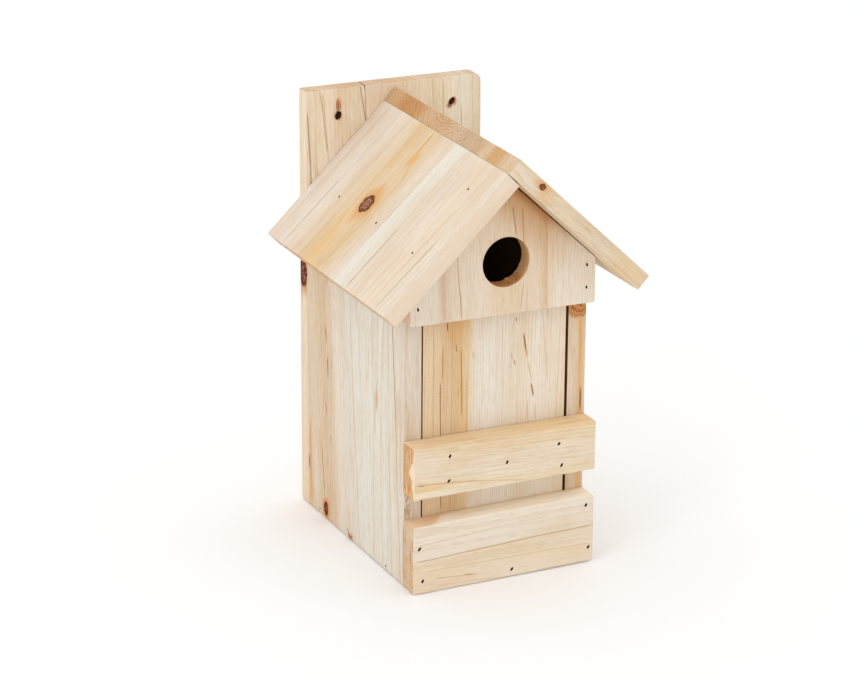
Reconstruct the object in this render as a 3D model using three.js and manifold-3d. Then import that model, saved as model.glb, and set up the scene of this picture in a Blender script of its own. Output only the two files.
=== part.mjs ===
// Nest box for small garden birds: a tall back board that hangs on two holes, a gabled box of softwood
// boards fixed with brads, and a front that lifts out for cleaning.
// Millimetres. +X is right as seen from the front, the front faces -Y, +Z is up. The origin is on the
// ground, below the centre of the smallest upright box that holds the whole nest box.
import * as THREE from 'three';
import { mergeVertices } from 'three/addons/utils/BufferGeometryUtils.js';
import Module from 'manifold-3d';

const wasm = await Module();
wasm.setup();

// Driving dimensions
const BOARD_HEIGHT = 250;
const BOX_WIDTH = 111; // over the two sides, and the width of the back board
const BOX_DEPTH = 140; // wall face of the back board to the front edges of the sides
const PLANK = 10; // thickness of the back board, floor and door
const LEFT_SIDE_THICKNESS = 10.5;
const RIGHT_SIDE_THICKNESS = 11.2; // sawn a little thicker than its partner
const ROOF_SPAN = 160; // eave to eave
const ROOF_REACH = 156; // back board to the front edge of the roof
const ROOF_THICKNESS = 10;
const ROOF_PITCH = THREE.MathUtils.degToRad(43.6);
const ROOF_APEX_Z = 232.7; // where the two undersides meet
const FRONT_WIDTH = 112; // gable and slats, a little wider than the box
const GABLE_THICKNESS = 9.5;
const GABLE_LEFT_BOTTOM_Z = 155.4; // its lower edge isn't quite square
const GABLE_RIGHT_BOTTOM_Z = 153.6;
const GABLE_SHIFT = -0.6; // nailed on a little to the left
const ENTRANCE_X = 0.5;
const ENTRANCE_Z = 184.5;
const ENTRANCE_DIAMETER = 28;
const SLAT_THICKNESS = 13;
const LOWER_SLAT_HEIGHT = 40;
const LOWER_SLAT_LIFT = 0.6; // its right end is cut and set this much higher
const HANDLE_BOTTOM_Z = 56;
const HANDLE_HEIGHT = 30.5;
const HANDLE_TAPER = 1.4; // its right end is narrower by this much
const DOOR_TOP_Z = 159.5;
const HANGING_HOLE_DIAMETER = 5;
const HANGING_HOLE_SPREAD = 71.4;
const HANGING_HOLE_DROP = 16; // below the top of the back board
const CORNER_RADIUS = 4.5; // worn top corner of the back board

// Fits
const GAP = 0.3; // between boards that only just meet
const RUNNING_GAP = 0.2; // between the door and what it slides against
const DOOR_GAP_LEFT = 0.6;
const DOOR_GAP_RIGHT = 1.3;
const GABLE_APEX_GAP = 1.6; // the gable is cut a little flatter than the roof
const GABLE_SHOULDER_GAP = 0.6;

// Brads
const BRAD_LENGTH = 20;
const ROOF_BRAD_LENGTH = 25;
const SHANK_RADIUS = 0.55;
const HEAD_RADIUS = 0.85;
const HEAD_HEIGHT = 0.7;
const BRAD_POINT = 1.5;
const BRAD_SEGMENTS = 8;
const BORE_GAP = 0.15;
const SINK = 0.5; // head below the surface
const ROOF_SINK = 1.3; // deeper, because the brads go straight down into a slope

const ROUND_SEGMENTS = 40;

// Derived places
const WALL_Y = (PLANK + ROOF_REACH) / 2;
const BOARD_FRONT_Y = WALL_Y - PLANK;
const BOX_FRONT_Y = WALL_Y - BOX_DEPTH;
const GABLE_FRONT_Y = BOX_FRONT_Y - GABLE_THICKNESS;
const SLAT_FRONT_Y = BOX_FRONT_Y - SLAT_THICKNESS;
const HANDLE_BACK_Y = BOX_FRONT_Y - RUNNING_GAP;
const ROOF_FRONT_Y = WALL_Y - PLANK - ROOF_REACH;
const SIDE_OUTER_X = BOX_WIDTH / 2;
const LEFT_INNER_X = LEFT_SIDE_THICKNESS - SIDE_OUTER_X;
const RIGHT_INNER_X = SIDE_OUTER_X - RIGHT_SIDE_THICKNESS;
const SIDE_BRAD_X = SIDE_OUTER_X - PLANK / 2;
const SLOPE = Math.tan(ROOF_PITCH);

const roofUndersideZ = (x) => ROOF_APEX_Z - Math.abs(x) * SLOPE;
const roofTopZ = (x) => roofUndersideZ(x) + ROOF_THICKNESS / Math.cos(ROOF_PITCH);

const finish = (color, roughness) => ({ color, roughness, metalness: 0 });
const PALE = finish('#e6d7bd', 0.72);
const WARM = finish('#dcc194', 0.7);
const CREAM = finish('#ecdfc6', 0.74);
const STRAW = finish('#dfc795', 0.7);
const AMBER = finish('#d9bd8d', 0.72);
const STEEL = { color: '#6b6863', roughness: 0.45, metalness: 0.9 };

function makeMesh(name, geometry, look) {
  const mesh = new THREE.Mesh(geometry, new THREE.MeshStandardMaterial(look));
  mesh.name = name;
  return mesh;
}

function solidOf(geometry) {
  const bare = geometry.clone();
  bare.deleteAttribute('normal');
  bare.deleteAttribute('uv');
  const merged = mergeVertices(bare);
  return new wasm.Manifold(new wasm.Mesh({
    numProp: 3,
    vertProperties: new Float32Array(merged.attributes.position.array),
    triVerts: new Uint32Array(merged.index.array),
  }));
}

function geometryOf(solid) {
  const { vertProperties, triVerts } = solid.getMesh();
  const geometry = new THREE.BufferGeometry();
  geometry.setAttribute('position', new THREE.BufferAttribute(vertProperties, 3));
  geometry.setIndex(new THREE.BufferAttribute(triVerts, 1));
  geometry.computeVertexNormals();
  return geometry;
}

// Outlines are drawn as seen from the front, and the board runs forward from y = 0 by its thickness.
function boardFromOutline(shape, thickness) {
  const geometry = new THREE.ExtrudeGeometry(shape, {
    depth: thickness,
    bevelEnabled: false,
    curveSegments: ROUND_SEGMENTS,
  });
  return geometry.rotateX(Math.PI / 2);
}

function outline(points) {
  return new THREE.Shape(points.map(([x, z]) => new THREE.Vector2(x, z)));
}

function roundHole(x, z, diameter) {
  const hole = new THREE.Path();
  hole.absarc(x, z, diameter / 2, 0, 2 * Math.PI, true);
  return hole;
}

// A square-edged board from its lowest to its highest corner.
function squareBoard(name, low, high, look) {
  const size = high.map((value, i) => value - low[i]);
  const mesh = makeMesh(name, new THREE.BoxGeometry(...size), look);
  mesh.position.set(...high.map((value, i) => (value + low[i]) / 2));
  return mesh;
}

function makeBackBoard() {
  const half = BOX_WIDTH / 2;
  const shape = new THREE.Shape();
  shape.moveTo(-half, 0);
  shape.lineTo(half, 0);
  shape.lineTo(half, BOARD_HEIGHT - CORNER_RADIUS);
  shape.absarc(half - CORNER_RADIUS, BOARD_HEIGHT - CORNER_RADIUS, CORNER_RADIUS, 0, Math.PI / 2);
  shape.lineTo(-half, BOARD_HEIGHT);
  shape.closePath();
  const holeZ = BOARD_HEIGHT - HANGING_HOLE_DROP;
  for (const side of [-1, 1]) {
    shape.holes.push(roundHole((side * HANGING_HOLE_SPREAD) / 2, holeZ, HANGING_HOLE_DIAMETER));
  }
  const mesh = makeMesh('back_board', boardFromOutline(shape, PLANK), AMBER);
  mesh.position.y = WALL_Y;
  return mesh;
}

// The top edge is bevelled to the pitch of the roof.
function makeSide(name, outerX, innerX) {
  const shape = outline([
    [outerX, 0],
    [outerX, roofUndersideZ(outerX) - GAP],
    [innerX, roofUndersideZ(innerX) - GAP],
    [innerX, 0],
  ]);
  const mesh = makeMesh(name, boardFromOutline(shape, BOX_DEPTH - PLANK), PALE);
  mesh.position.y = BOARD_FRONT_Y;
  return mesh;
}

function makeFloorBoard() {
  const low = [LEFT_INNER_X, BOX_FRONT_Y, 0];
  const high = [RIGHT_INNER_X, BOARD_FRONT_Y, PLANK];
  return squareBoard('floor_board', low, high, PALE);
}

function makeGableFront() {
  const leftX = GABLE_SHIFT - FRONT_WIDTH / 2;
  const rightX = GABLE_SHIFT + FRONT_WIDTH / 2;
  const shape = outline([
    [leftX, GABLE_LEFT_BOTTOM_Z],
    [rightX, GABLE_RIGHT_BOTTOM_Z],
    [rightX, roofUndersideZ(rightX) - GABLE_SHOULDER_GAP],
    [0, ROOF_APEX_Z - GABLE_APEX_GAP],
    [leftX, roofUndersideZ(leftX) - GABLE_SHOULDER_GAP],
  ]);
  shape.holes.push(roundHole(ENTRANCE_X, ENTRANCE_Z, ENTRANCE_DIAMETER));
  const mesh = makeMesh('gable_front', boardFromOutline(shape, GABLE_THICKNESS), CREAM);
  mesh.position.y = BOX_FRONT_Y;
  return mesh;
}

// The door stands on the floor board, between the sides and behind the gable and the lower slat.
function makeDoorPanel() {
  const frontY = BOX_FRONT_Y + RUNNING_GAP;
  const low = [LEFT_INNER_X + DOOR_GAP_LEFT, frontY, PLANK + GAP];
  const high = [RIGHT_INNER_X - DOOR_GAP_RIGHT, frontY + PLANK, DOOR_TOP_Z];
  return squareBoard('door_panel', low, high, WARM);
}

function makeHandleSlat() {
  const half = FRONT_WIDTH / 2;
  const topZ = HANDLE_BOTTOM_Z + HANDLE_HEIGHT;
  const shape = outline([
    [-half, HANDLE_BOTTOM_Z],
    [half, HANDLE_BOTTOM_Z],
    [half, topZ - HANDLE_TAPER],
    [-half, topZ],
  ]);
  const mesh = makeMesh('handle_slat', boardFromOutline(shape, SLAT_THICKNESS), STRAW);
  mesh.position.y = HANDLE_BACK_Y;
  return mesh;
}

function makeLowerSlat() {
  const half = FRONT_WIDTH / 2;
  const shape = outline([
    [-half, 0],
    [half, LOWER_SLAT_LIFT],
    [half, LOWER_SLAT_HEIGHT + LOWER_SLAT_LIFT],
    [-half, LOWER_SLAT_HEIGHT],
  ]);
  const mesh = makeMesh('lower_slat', boardFromOutline(shape, SLAT_THICKNESS), STRAW);
  mesh.position.y = BOX_FRONT_Y;
  return mesh;
}

// A roof board lies in a group at the roof's inner apex, turned to its slope: its length runs down the
// slope from `start` and its thickness stands on the underside.
function makeRoofBoard(name, side, start, look) {
  const tipInset = ROOF_THICKNESS * Math.sin(ROOF_PITCH);
  const end = (ROOF_SPAN / 2 - tipInset) / Math.cos(ROOF_PITCH);
  const depth = ROOF_REACH - GAP;
  const mesh = makeMesh(name, new THREE.BoxGeometry(end - start, depth, ROOF_THICKNESS), look);
  mesh.position.set((side * (start + end)) / 2, ROOF_FRONT_Y + depth / 2, ROOF_THICKNESS / 2);
  const slope = new THREE.Group();
  slope.position.z = ROOF_APEX_Z;
  slope.rotation.y = side * ROOF_PITCH;
  slope.add(mesh);
  return { slope, mesh };
}

// The right board laps over the upper end of the left one, which is cut square.
function makeRoof() {
  const squareCutRise = ROOF_THICKNESS * Math.cos(2 * ROOF_PITCH);
  const leftStart = (squareCutRise + GAP) / Math.sin(2 * ROOF_PITCH);
  const rightStart = -ROOF_THICKNESS / Math.sin(2 * ROOF_PITCH);
  return {
    left: makeRoofBoard('roof_left', -1, leftStart, CREAM),
    right: makeRoofBoard('roof_right', 1, rightStart, AMBER),
  };
}

// Half outline of a brad along its own axis, from the crown of the head (y = 0) to the point. `grow`
// enlarges it into the bore that it sits in, and `above` carries that bore up out of the surface.
function bradProfile(length, grow, above) {
  return [
    [0, -length - grow],
    [SHANK_RADIUS + grow, -length + BRAD_POINT],
    [SHANK_RADIUS + grow, -HEAD_HEIGHT - grow],
    [HEAD_RADIUS + grow, -HEAD_HEIGHT - grow],
    [HEAD_RADIUS + grow, above],
    [0, above],
  ].map(([radius, height]) => new THREE.Vector2(radius, height));
}

function bradGeometry(length) {
  return new THREE.LatheGeometry(bradProfile(length, 0, 0), BRAD_SEGMENTS);
}

function boreGeometry(length) {
  return new THREE.LatheGeometry(bradProfile(length, BORE_GAP, 3 * ROOF_SINK), BRAD_SEGMENTS);
}

// Drives one brad at `point` on a surface, pointing along `direction`, and drills the boards it holds.
function driveBrad(name, point, direction, boards, length = BRAD_LENGTH, sink = SINK) {
  const aim = new THREE.Vector3(...direction).normalize();
  const brad = makeMesh(name, bradGeometry(length), STEEL);
  brad.position.set(...point).addScaledVector(aim, sink);
  brad.quaternion.setFromUnitVectors(new THREE.Vector3(0, -1, 0), aim);
  brad.updateMatrixWorld();
  for (const board of boards) {
    board.updateWorldMatrix(true, false);
    const bore = boreGeometry(length);
    bore.applyMatrix4(brad.matrixWorld);
    bore.applyMatrix4(board.matrixWorld.clone().invert());
    board.geometry = geometryOf(solidOf(board.geometry).subtract(solidOf(bore)));
  }
  return brad;
}

// Drives a row of brads in one direction, named prefix_1, prefix_2 and so on.
function driveRow(prefix, places, direction, length, sink) {
  return places.map(([point, boards], i) => (
    driveBrad(`${prefix}_${i + 1}`, point, direction, boards, length, sink)
  ));
}

const INWARD = [0, 1, 0];
const FORWARD = [0, -1, 0];
const DOWN = [0, 0, -1];

function driveGableBrads(gable, left, right) {
  const places = [
    [[-52, GABLE_FRONT_Y, 165], [gable, left]],
    [[-49.5, GABLE_FRONT_Y, 175], [gable, left]],
    [[50, GABLE_FRONT_Y, 163], [gable, right]],
    [[50, GABLE_FRONT_Y, 176], [gable, right]],
  ];
  return driveRow('brad_gable', places, INWARD);
}

function driveHandleBrads(slat, door) {
  const frontY = HANDLE_BACK_Y - SLAT_THICKNESS;
  const marks = [[-34, 79], [-34.5, 64.5], [1, 69.5], [33, 75], [35, 62]];
  const places = marks.map(([x, z]) => [[x, frontY, z], [slat, door]]);
  return driveRow('brad_handle', places, INWARD);
}

function driveLowerSlatBrads(slat, left, right, floor) {
  const places = [
    [[-52, SLAT_FRONT_Y, 27], [slat, left]],
    [[-50, SLAT_FRONT_Y, 7.5], [slat, left]],
    [[51, SLAT_FRONT_Y, 35], [slat, right]],
    [[53, SLAT_FRONT_Y, 9], [slat, right]],
    [[5, SLAT_FRONT_Y, 4.5], [slat, floor]],
  ];
  return driveRow('brad_lower_slat', places, INWARD);
}

// Straight down through a roof board, two into a side and two into the gable.
function driveRoofBrads(prefix, side, roofBoard, sideBoard, gable) {
  const gableY = BOX_FRONT_Y - GABLE_THICKNESS / 2;
  const marks = [
    [51, WALL_Y - 45, sideBoard],
    [51.5, WALL_Y - 95, sideBoard],
    [53.3, gableY, gable],
    [20.5, gableY, gable],
  ];
  const places = marks.map(([x, y, below]) => [[side * x, y, roofTopZ(x)], [roofBoard, below]]);
  return driveRow(prefix, places, DOWN, ROOF_BRAD_LENGTH, ROOF_SINK);
}

// Square through the right roof board, where it laps over the end of the left one.
function driveRidgeBrads(left, right) {
  const down = [-Math.sin(ROOF_PITCH), 0, -Math.cos(ROOF_PITCH)];
  const alongSlope = ROOF_THICKNESS / Math.sin(2 * ROOF_PITCH) - ROOF_THICKNESS / 2;
  const x = -alongSlope * Math.cos(ROOF_PITCH) - ROOF_THICKNESS * down[0];
  const z = ROOF_APEX_Z + alongSlope * Math.sin(ROOF_PITCH) - ROOF_THICKNESS * down[2];
  const places = [WALL_Y - 30, WALL_Y - 90, WALL_Y - 138].map((y) => [[x, y, z], [right, left]]);
  return driveRow('brad_ridge', places, down);
}

function driveFloorBrads(prefix, side, sideBoard, floor) {
  const places = [WALL_Y - 26, WALL_Y - 116.5].map((y) => (
    [[side * SIDE_OUTER_X, y, 3], [sideBoard, floor]]
  ));
  return driveRow(prefix, places, [-side, 0, 0]);
}

function driveBackBrads(back, left, right, floor) {
  const heights = [32, 95, 158];
  const places = [
    ...heights.map((z) => [[-SIDE_BRAD_X, WALL_Y, z], [back, left]]),
    ...heights.map((z) => [[SIDE_BRAD_X, WALL_Y, z], [back, right]]),
    ...[-25, 25].map((x) => [[x, WALL_Y, PLANK / 2], [back, floor]]),
  ];
  return driveRow('brad_back', places, FORWARD);
}

const backBoard = makeBackBoard();
const leftSide = makeSide('left_side', -SIDE_OUTER_X, LEFT_INNER_X);
const rightSide = makeSide('right_side', SIDE_OUTER_X, RIGHT_INNER_X);
const floorBoard = makeFloorBoard();
const gableFront = makeGableFront();
const lowerSlat = makeLowerSlat();
const roof = makeRoof();
const doorPanel = makeDoorPanel();
const handleSlat = makeHandleSlat();

const fixedBrads = [
  ...driveGableBrads(gableFront, leftSide, rightSide),
  ...driveLowerSlatBrads(lowerSlat, leftSide, rightSide, floorBoard),
  ...driveRoofBrads('brad_roof_left', -1, roof.left.mesh, leftSide, gableFront),
  ...driveRoofBrads('brad_roof_right', 1, roof.right.mesh, rightSide, gableFront),
  ...driveRidgeBrads(roof.left.mesh, roof.right.mesh),
  ...driveFloorBrads('brad_floor_left', -1, leftSide, floorBoard),
  ...driveFloorBrads('brad_floor_right', 1, rightSide, floorBoard),
  ...driveBackBrads(backBoard, leftSide, rightSide, floorBoard),
];

const house = new THREE.Group();
house.add(backBoard, leftSide, rightSide, floorBoard, gableFront, lowerSlat);
house.add(roof.left.slope, roof.right.slope);
house.add(...fixedBrads);

const door = new THREE.Group();
door.add(doorPanel, handleSlat);
door.add(...driveHandleBrads(handleSlat, doorPanel));

const group = new THREE.Group();
group.add(house, door);

export default group;
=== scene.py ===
"""Looks of the nest box: every board is rebuilt around its CAD node as sawn softwood with eased edges,
punched brad holes, torn fibres, knots and checks, and stands in soft studio light.

Shapes are worked out in millimetres in the part's own frame and written to the meshes in metres.
In a material, `across` runs over the growth rings, `deep` through the board and `along` with the grain.
"""
import math

import bmesh
import bpy
from mathutils import Matrix, Vector, noise


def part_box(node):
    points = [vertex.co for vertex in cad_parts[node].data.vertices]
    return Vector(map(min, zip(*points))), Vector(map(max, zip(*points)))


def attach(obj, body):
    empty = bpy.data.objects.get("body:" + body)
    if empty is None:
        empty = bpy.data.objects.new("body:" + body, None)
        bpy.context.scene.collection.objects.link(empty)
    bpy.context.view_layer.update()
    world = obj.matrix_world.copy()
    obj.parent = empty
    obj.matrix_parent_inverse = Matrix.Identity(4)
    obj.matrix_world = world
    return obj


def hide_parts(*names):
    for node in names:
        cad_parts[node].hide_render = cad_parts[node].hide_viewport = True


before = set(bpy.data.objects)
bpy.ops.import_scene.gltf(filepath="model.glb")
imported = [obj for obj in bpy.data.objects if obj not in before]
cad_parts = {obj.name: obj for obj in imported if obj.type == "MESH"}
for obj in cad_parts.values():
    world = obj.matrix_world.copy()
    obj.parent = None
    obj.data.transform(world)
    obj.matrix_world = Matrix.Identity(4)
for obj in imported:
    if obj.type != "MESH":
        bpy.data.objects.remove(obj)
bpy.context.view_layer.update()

MM = 0.001
PER_METRE = 1000
X = Vector((1, 0, 0))
Y = Vector((0, 1, 0))
Z = Vector((0, 0, 1))
ROOF_PITCH = math.radians(43.6)
DOWN_LEFT = Vector((-math.cos(ROOF_PITCH), 0, -math.sin(ROOF_PITCH)))
DOWN_RIGHT = Vector((math.cos(ROOF_PITCH), 0, -math.sin(ROOF_PITCH)))
OUT_LEFT = Vector((-math.sin(ROOF_PITCH), 0, math.cos(ROOF_PITCH)))
OUT_RIGHT = Vector((math.sin(ROOF_PITCH), 0, math.cos(ROOF_PITCH)))


# ---------------------------------------------------------------- reading the CAD frame

def farthest(node, direction):
    """The vertex of a CAD node that lies farthest along a direction, in millimetres."""
    points = (vertex.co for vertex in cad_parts[node].data.vertices)
    return max(points, key=direction.dot) / MM


def reach(node, direction):
    """How far a CAD node goes along a direction, in millimetres."""
    return farthest(node, direction).dot(direction)


def roof_apex():
    """Where the undersides of the two roof boards meet, in millimetres."""
    inner = reach("roof_left", -OUT_LEFT)
    return Z * (-inner / math.cos(ROOF_PITCH))


# ---------------------------------------------------------------- nodes

class Field:
    """A number, colour or vector in a node tree. Arithmetic on it adds Math nodes."""

    def __init__(self, tree, socket):
        self.tree = tree
        self.socket = socket

    def __add__(self, other):
        return math_node(self.tree, "ADD", self, other)

    def __radd__(self, other):
        return math_node(self.tree, "ADD", other, self)

    def __sub__(self, other):
        return math_node(self.tree, "SUBTRACT", self, other)

    def __rsub__(self, other):
        return math_node(self.tree, "SUBTRACT", other, self)

    def __mul__(self, other):
        return math_node(self.tree, "MULTIPLY", self, other)

    def __rmul__(self, other):
        return math_node(self.tree, "MULTIPLY", other, self)

    def __truediv__(self, other):
        return math_node(self.tree, "DIVIDE", self, other)

    def __abs__(self):
        return math_node(self.tree, "ABSOLUTE", self)


def add_node(tree, kind, values, output=0, **settings):
    """Adds a node, links or sets its inputs by index, and gives one of its outputs."""
    made = tree.nodes.new(kind)
    for key, value in settings.items():
        setattr(made, key, value)
    for index, value in values.items():
        if isinstance(value, Field):
            tree.links.new(value.socket, made.inputs[index])
        else:
            made.inputs[index].default_value = value
    return Field(tree, made.outputs[output])


def math_node(tree, operation, *values):
    return add_node(tree, "ShaderNodeMath", dict(enumerate(values)), operation=operation)


def smooth(value, low, high):
    """0 at low and 1 at high, with soft ends. Low may be the larger."""
    return add_node(value.tree, "ShaderNodeMapRange", {0: value, 1: low, 2: high},
                    interpolation_type="SMOOTHSTEP")


def remap(value, low, high, to_low, to_high):
    ranges = {0: value, 1: low, 2: high, 3: to_low, 4: to_high}
    return add_node(value.tree, "ShaderNodeMapRange", ranges, clamp=True)


def dot(vector, direction):
    return add_node(vector.tree, "ShaderNodeVectorMath", {0: vector, 1: direction}, output=1,
                    operation="DOT_PRODUCT")


def stretched(vector, scales):
    return add_node(vector.tree, "ShaderNodeVectorMath", {0: vector, 1: scales}, operation="MULTIPLY")


def grain_noise(vector, scales, detail=1, roughness=0.5):
    """Noise from 0 to 1 around 0.5. The scales are features per unit of the vector, one for each axis."""
    values = {0: stretched(vector, scales), 2: 1, 3: detail, 4: roughness}
    return add_node(vector.tree, "ShaderNodeTexNoise", values)


def mix(under, over, share, blend="MIX"):
    return add_node(share.tree, "ShaderNodeMix", {0: share, 6: under, 7: over}, output=2,
                    data_type="RGBA", blend_type=blend)


def hypotenuse(one, other):
    return math_node(one.tree, "SQRT", one * one + other * other)


def tooth(count, low, high, drop):
    """In every whole step of a count, rises from low to high and falls again after drop."""
    part = math_node(count.tree, "FRACT", count)
    return smooth(part, low, high) * smooth(part, 1, drop)


def object_point(tree):
    """The place on an object, in metres."""
    return add_node(tree, "ShaderNodeTexCoord", {}, output="Object")


def srgb(red, green, blue):
    """A linear colour from its 8-bit sRGB one."""
    def linear(level):
        part = level / 255
        return part / 12.92 if part <= 0.04045 else ((part + 0.055) / 1.055) ** 2.4
    return (linear(red), linear(green), linear(blue), 1)


def empty_material(name):
    material = bpy.data.materials.new(name)
    material.use_nodes = True
    material.node_tree.nodes.clear()
    return material


def surface(tree, colour, rough, bump, specular=0.5, metallic=0):
    """Joins colour, roughness and bump into a shader and the material's output."""
    shader = tree.nodes.new("ShaderNodeBsdfPrincipled")
    shader.inputs["Specular IOR Level"].default_value = specular
    shader.inputs["Metallic"].default_value = metallic
    output = tree.nodes.new("ShaderNodeOutputMaterial")
    tree.links.new(colour.socket, shader.inputs["Base Color"])
    tree.links.new(rough.socket, shader.inputs["Roughness"])
    tree.links.new(bump.socket, shader.inputs["Normal"])
    tree.links.new(shader.outputs["BSDF"], output.inputs["Surface"])


def ramp(value, stops, tone=(1, 1, 1)):
    """Colours by position, times a tone. The stops are (position, red, green, blue), in rising order."""
    first = stops[0][0]
    last = stops[-1][0]
    place = remap(value, first, last, 0, 1)
    out = add_node(value.tree, "ShaderNodeValToRGB", {0: place})
    elements = out.socket.node.color_ramp.elements
    while len(elements) < len(stops):
        elements.new(0.5)
    for element, stop in zip(elements, stops):
        element.position = (stop[0] - first) / (last - first)
    for element, stop in zip(elements, stops):
        element.color = [min(1, part * gain) for part, gain in zip(srgb(*stop[1:]), (*tone, 1))]
    return out


# ---------------------------------------------------------------- wood

LATE_WOOD = (226, 202, 172)
FIBRE_SHADE = (236, 225, 212)
DUCT_SHADE = (204, 176, 146)
MOTTLE_SHADE = (248, 238, 224)
BRIGHT_FIBRE = (250, 246, 238)
END_GRAIN = (236, 204, 164)
END_PORES = (204, 170, 130)
# painted shadow that the right roof board's overhang casts on the gable
PAINTED_ROOF_SHADOW = (234, 208, 178)
# painted shade for the faces inside the nest chamber
PAINTED_CHAMBER_SHADE = (176, 152, 128)
UMBER = (120, 74, 44)
ROUGHNESS = (0.56, 0.76)
DARK_LINE = 190  # red level under which a line is drawn warmer, since pale wood shows beside it


class Wood:
    """The material of one board. Its layers are painted one over another, and build() closes it."""

    def __init__(self, name, across, along, origin=Vector((0, 0, 0)), lean=0, middle=0):
        self.material = empty_material(name)
        self.tree = self.material.node_tree
        self.point = object_point(self.tree)
        self.origin = origin
        self.normal_along = self.facing(along)
        self.across = self.measure(across)
        self.deep = self.measure(across.cross(along))
        self.along = self.measure(along)
        parts = {0: self.across, 1: self.deep, 2: self.along}
        self.place = add_node(self.tree, "ShaderNodeCombineXYZ", parts)
        slow = self.noise((0.022, 0.022, 0.006)) - 0.5
        quick = self.noise((0.16, 0.16, 0.02), detail=2) - 0.5
        self.wavy = self.across + quick * 1.5 + slow * 1.6
        self.leaned = self.wavy - (self.along - middle) * lean
        self.colour = None

    def measure(self, direction):
        """Millimetres from the board's origin along a direction."""
        return dot(self.point, direction * PER_METRE) - self.origin.dot(direction)

    def point_distance(self, place):
        """Millimetres from a line that runs through the board at a place."""
        aside = self.measure(X) - place.x
        above = self.measure(Z) - place.z
        return hypotenuse(aside, above)

    def facing(self, direction):
        """How squarely a surface faces along or against a direction, from 0 to 1."""
        normal = add_node(self.tree, "ShaderNodeTexCoord", {}, output="Normal")
        return abs(dot(normal, direction))

    def noise(self, scales, detail=1, roughness=0.5):
        return grain_noise(self.place, scales, detail, roughness)

    def paint(self, colour, share):
        """Covers a share of what is there with an 8-bit sRGB colour."""
        self.colour = mix(self.colour, srgb(*colour), share)

    def shade(self, colour, share):
        """Multiplies a share of what is there by an 8-bit sRGB colour."""
        self.colour = mix(self.colour, srgb(*colour), share, blend="MULTIPLY")

    def bands(self, stops, tone=(1, 1, 1)):
        """The board's own colour over its width. The tone makes up for the shades laid over it."""
        self.colour = ramp(self.leaned, stops, tone)

    def rings(self, pith, spacing, strength, swerves=()):
        """Growth rings round a pith at (across, deep), which swerve round the knots."""
        offset = self.leaned
        for centre, along, width, length in swerves:
            aside = self.leaned - centre
            away = (self.along - along) / length
            spread = (aside / width) * (aside / width) + away * away
            offset = offset - aside * smooth(spread, 1.6, 0) * 0.72
        aside = offset - pith[0]
        below = self.deep - pith[1]
        uneven = self.noise((0.09, 0.09, 0.004)) * 3
        count = hypotenuse(aside, below) / spacing + uneven
        index = math_node(self.tree, "FLOOR", count)
        own = add_node(self.tree, "ShaderNodeTexWhiteNoise", {1: index}, noise_dimensions="1D")
        self.late = tooth(count, 0.4, 0.93, 0.95) * remap(own, 0, 1, 0.15, 1)
        self.shade(LATE_WOOD, self.late * strength)

    def fibres(self, strength=1):
        """Fine fibres, resin ducts and soft mottling."""
        fine = self.noise((2.8, 2.8, 0.12), detail=3, roughness=0.7)
        coarse = self.noise((0.55, 0.55, 0.01), detail=1)
        ducts = self.noise((1.7, 1.7, 0.11), detail=0)
        mottle = self.noise((0.07, 0.07, 0.018), detail=2)
        self.fine = fine
        self.ducts = smooth(ducts, 0.68, 0.8)
        self.shade(FIBRE_SHADE, smooth(fine, 0.46, 0.72) * (0.8 * strength))
        self.shade(FIBRE_SHADE, smooth(coarse, 0.5, 0.75) * (0.3 * strength))
        self.paint(BRIGHT_FIBRE, smooth(fine, 0.5, 0.3) * (0.12 * strength))
        self.shade(DUCT_SHADE, self.ducts * (0.24 * strength))
        self.shade(MOTTLE_SHADE, smooth(mottle, 0.42, 0.68) * 0.5)

    def saw_marks(self, slant, strength, where=1):
        """Faint ridges that a saw's teeth leave across the grain."""
        travel = self.along + self.across * slant
        wobble = self.noise((0.12, 0.12, 0.12), detail=1) * 1.6
        ridge = tooth(travel / 1.7 + wobble, 0, 0.5, 0.5)
        patchy = self.noise((0.05, 0.05, 0.05))
        share = ridge * smooth(patchy, 0.4, 0.62) * where
        self.shade(FIBRE_SHADE, share * strength)

    def end_grain(self, strength=1, contrast=0.6):
        """Cut ends are darker and warmer, with the rings and open pores showing."""
        ends = smooth(self.normal_along, 0.55, 0.8)
        speckle = self.noise((1.6, 1.6, 0.3), detail=2, roughness=0.7)
        self.shade(END_GRAIN, ends * strength)
        self.shade(END_PORES, ends * self.late * contrast)
        self.shade(END_PORES, ends * smooth(speckle, 0.46, 0.66) * (0.7 * contrast))
        self.ends = ends
        self.speckle = speckle

    def streak(self, across, along, end_across, end_along, width, colour, strength, taper=5):
        """A thin line from one (across, along) to another, that fades at both ends."""
        centre = remap(self.along, along, end_along, across, end_across)
        beside = abs(self.wavy - centre)
        half = abs(end_along - along) / 2
        beyond = abs(self.along - (along + end_along) / 2)
        ends = smooth(beyond, half, max(half - taper, 0))
        red, green, blue = colour
        warm = (red, green, blue * min(1, red / DARK_LINE))
        self.paint(warm, smooth(beside, width, width * 0.25) * ends * strength)

    def streaks(self, *rows):
        """Each row holds the values of one streak."""
        for row in rows:
            self.streak(*row)

    def patch(self, centre, size, colour, strength, ragged=1.4):
        """A soft area of colour round centre = (across, along)."""
        aside = (self.wavy - centre[0]) / size[0]
        away = (self.along - centre[1]) / size[1]
        cloud = self.noise((0.5, 0.5, 0.06), detail=2) - 0.5
        spread = aside * aside + away * away + cloud * ragged
        self.paint(colour, smooth(spread, 1, 0) * strength)

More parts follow.
